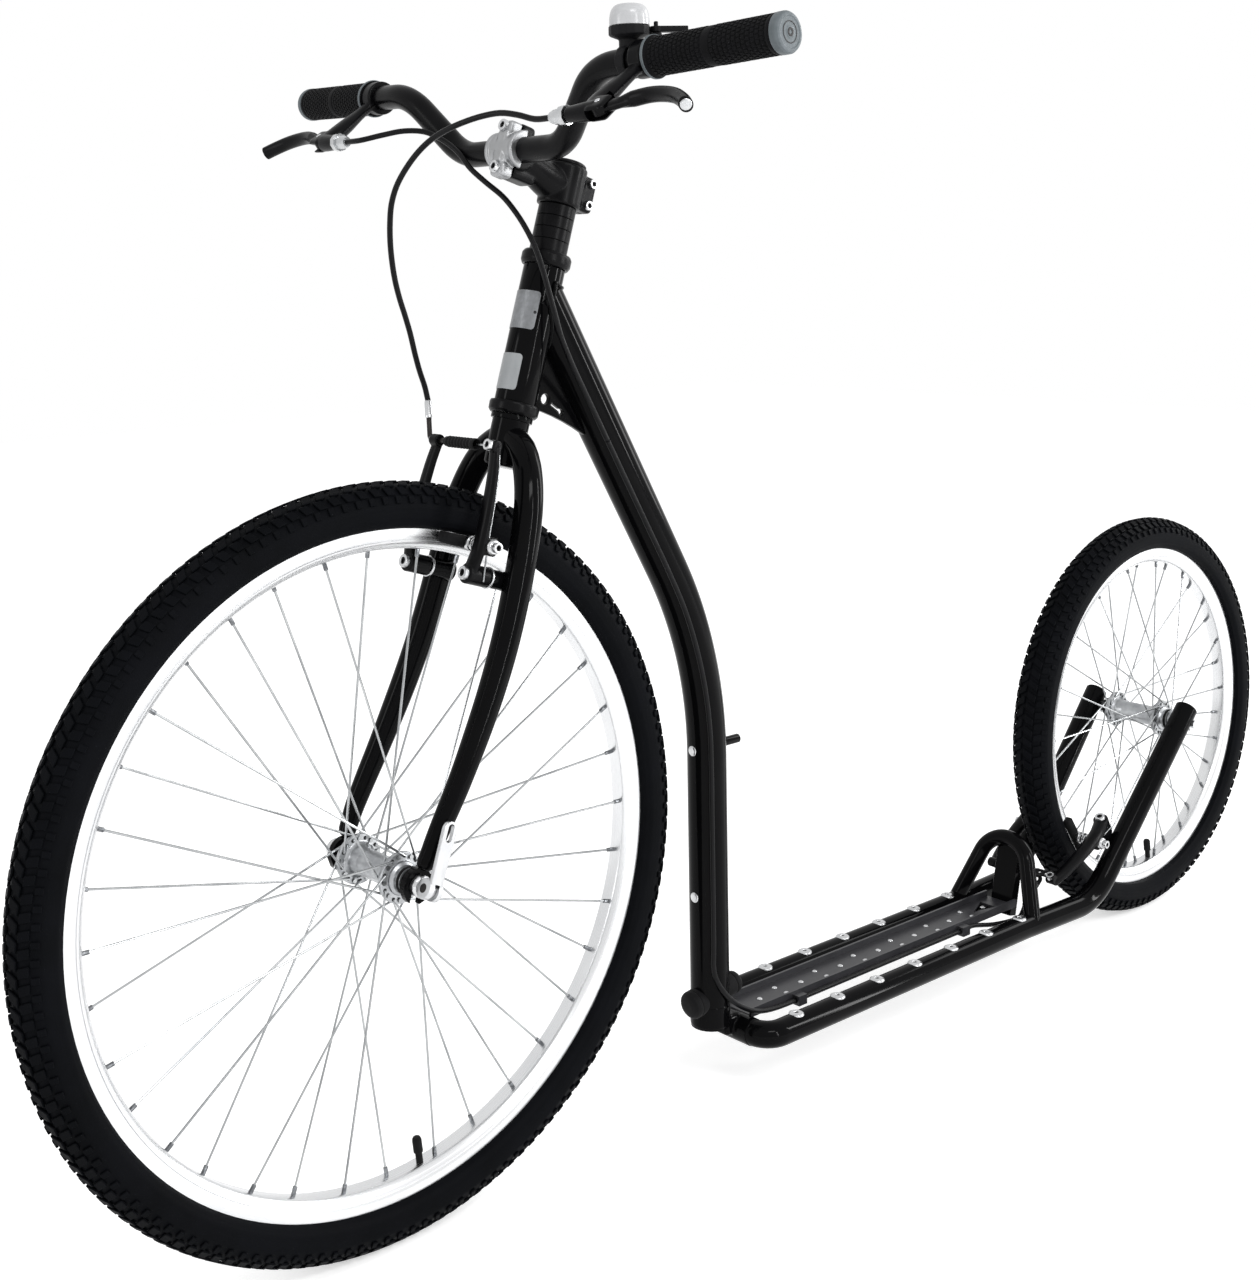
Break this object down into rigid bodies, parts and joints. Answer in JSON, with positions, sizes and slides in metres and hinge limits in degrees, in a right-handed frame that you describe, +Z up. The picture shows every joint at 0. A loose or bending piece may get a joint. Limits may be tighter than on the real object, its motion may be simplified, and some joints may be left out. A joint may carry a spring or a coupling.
{
  "type": "kick bike",
  "caption": "Adult kick bike with a large spoked front wheel, a smaller rear wheel, a low tubular deck, a raised handlebar and linear-pull rim brakes.",
  "frame": {"origin": "on the ground, midway between the front of the front tyre and the rear of the rear tyre, in the middle plane", "axes": "+X forward, +Y to the rider's left, +Z up"},
  "size_m": [1.712, 0.6472, 1.0221],
  "materials": {
    "gloss_black_paint": "gloss black paint",
    "satin_black_paint": "satin black anodised alloy",
    "tyre_rubber": "black tyre rubber",
    "soft_rubber": "black rubber",
    "grip_rubber": "textured black rubber",
    "black_plastic": "matte black plastic",
    "grey_plastic": "grey plastic",
    "cable_housing": "black plastic housing",
    "silver_rim": "silver anodised",
    "steel_spokes": "bright steel and alloy",
    "cast_alloy": "cast grey alloy",
    "polished_alloy": "polished",
    "bell_chrome": "satin chrome"
  },
  "bodies": {
    "frame": {"head_tube": "gloss_black_paint", "headset_lower_cup": "satin_black_paint", "headset_upper_cup": "satin_black_paint", "head_gusset": "gloss_black_paint", "deck_loop": "gloss_black_paint", "main_tube": "gloss_black_paint", "tube_plug": "soft_rubber", "deck_hoop": "gloss_black_paint", "hoop_web": "gloss_black_paint", "deck_channel": "gloss_black_paint", "rear_axle": "polished_alloy", "rear_cable_lower": "cable_housing"},
    "steering": {"fork_steerer": "gloss_black_paint", "fork_leg_left": "gloss_black_paint", "fork_leg_right": "gloss_black_paint", "headset_spacers": "satin_black_paint", "stem": "satin_black_paint", "stem_faceplate": "cast_alloy", "stem_top_cap": "black_plastic", "handlebar": "satin_black_paint", "grip_left": "grip_rubber", "grip_right": "grip_rubber", "grip_cap_left": "grey_plastic", "grip_cap_right": "grey_plastic", "lever_body_left": "satin_black_paint", "lever_body_right": "satin_black_paint", "barrel_adjuster_left": "polished_alloy", "barrel_adjuster_right": "polished_alloy", "bell_base": "black_plastic", "bell_dome": "bell_chrome", "front_skewer": "polished_alloy", "skewer_cap": "polished_alloy", "front_cable": "cable_housing", "rear_cable_upper": "cable_housing"},
    "front_wheel": {"front_wheel_tyre": "tyre_rubber", "front_wheel_rim": "silver_rim", "front_wheel_hub": "steel_spokes", "front_wheel_valve": "black_plastic"},
    "rear_wheel": {"rear_wheel_tyre": "tyre_rubber", "rear_wheel_rim": "silver_rim", "rear_wheel_hub": "steel_spokes", "rear_wheel_valve": "black_plastic"},
    "left_lever": {"lever_blade_left": "satin_black_paint"},
    "right_lever": {"lever_blade_right": "satin_black_paint"},
    "front_left_arm": {"front_brake_arm_left": "satin_black_paint", "front_brake_pad_left": "soft_rubber"},
    "front_right_arm": {"front_brake_arm_right": "satin_black_paint", "front_brake_pad_right": "soft_rubber", "front_noodle": "polished_alloy", "front_boot": "soft_rubber"},
    "rear_left_arm": {"rear_brake_arm_left": "satin_black_paint", "rear_brake_pad_left": "soft_rubber", "rear_noodle": "black_plastic", "rear_boot": "soft_rubber", "rear_link": "black_plastic", "rear_cable_end": "cable_housing"},
    "rear_right_arm": {"rear_brake_arm_right": "satin_black_paint", "rear_brake_pad_right": "soft_rubber"},
    "quick_release": {"quick_release_lever": "polished_alloy"},
    "striker": {"bell_striker": "black_plastic"}
  },
  "joints": [
    {"name": "steering_turn", "type": "hinge", "parent": "frame", "child": "steering", "pos_m": [0.37904, 0, 0.69289], "axis": [-0.299, 0, 0.9542], "range_deg": [-90, 90], "deforming": ["rear_cable_upper"]},
    {"name": "front_wheel_spin", "type": "hinge", "parent": "steering", "child": "front_wheel", "pos_m": [0.533, 0, 0.323], "axis": [0, 1, 0], "continuous": true},
    {"name": "rear_wheel_spin", "type": "hinge", "parent": "frame", "child": "rear_wheel", "pos_m": [-0.611, 0, 0.245], "axis": [0, 1, 0], "continuous": true},
    {"name": "left_lever_pull", "type": "hinge", "parent": "steering", "child": "left_lever", "pos_m": [0.44193, 0.19256, 0.93707], "axis": [0.582, 0.0196, 0.8129], "range_deg": [0, 25], "stiffness_Nm_per_rad": 0.8, "springref_deg": -14.32},
    {"name": "right_lever_pull", "type": "hinge", "parent": "steering", "child": "right_lever", "pos_m": [0.44193, -0.19256, 0.93707], "axis": [-0.582, 0.0196, -0.8129], "range_deg": [0, 25], "stiffness_Nm_per_rad": 0.8, "springref_deg": -14.32},
    {"name": "front_left_arm_swing", "type": "hinge", "parent": "steering", "child": "front_left_arm", "pos_m": [0.45503, 0.042, 0.56412], "axis": [0.9542, 0, 0.299], "range_deg": [0, 3.5]},
    {"name": "front_right_arm_swing", "type": "hinge", "parent": "steering", "child": "front_right_arm", "pos_m": [0.45503, -0.042, 0.56412], "axis": [-0.9542, 0, -0.299], "range_deg": [0, 3.5]},
    {"name": "rear_left_arm_swing", "type": "hinge", "parent": "frame", "child": "rear_left_arm", "pos_m": [-0.46801, 0.042, 0.1417], "axis": [-0.454, 0, -0.891], "range_deg": [0, 3.5], "deforming": ["rear_cable_end"]},
    {"name": "rear_right_arm_swing", "type": "hinge", "parent": "frame", "child": "rear_right_arm", "pos_m": [-0.46801, -0.042, 0.1417], "axis": [0.454, 0, 0.891], "range_deg": [0, 3.5]},
    {"name": "quick_release_turn", "type": "hinge", "parent": "steering", "child": "quick_release", "pos_m": [0.533, 0.0715, 0.323], "axis": [-0.8878, 0, -0.4602], "range_deg": [0, 165]},
    {"name": "bell_striker_swing", "type": "hinge", "parent": "steering", "child": "striker", "pos_m": [0.369, 0.17705, 0.97747], "axis": [0, 0, 1], "range_deg": [0, 25], "stiffness_Nm_per_rad": 0.02, "springref_deg": -17.19}
  ],
  "couplings": [
    {"joint": "front_left_arm_swing", "follows": "left_lever_pull", "ratio": 0.14},
    {"joint": "front_right_arm_swing", "follows": "left_lever_pull", "ratio": 0.14},
    {"joint": "rear_left_arm_swing", "follows": "right_lever_pull", "ratio": 0.14},
    {"joint": "rear_right_arm_swing", "follows": "right_lever_pull", "ratio": 0.14}
  ]
}
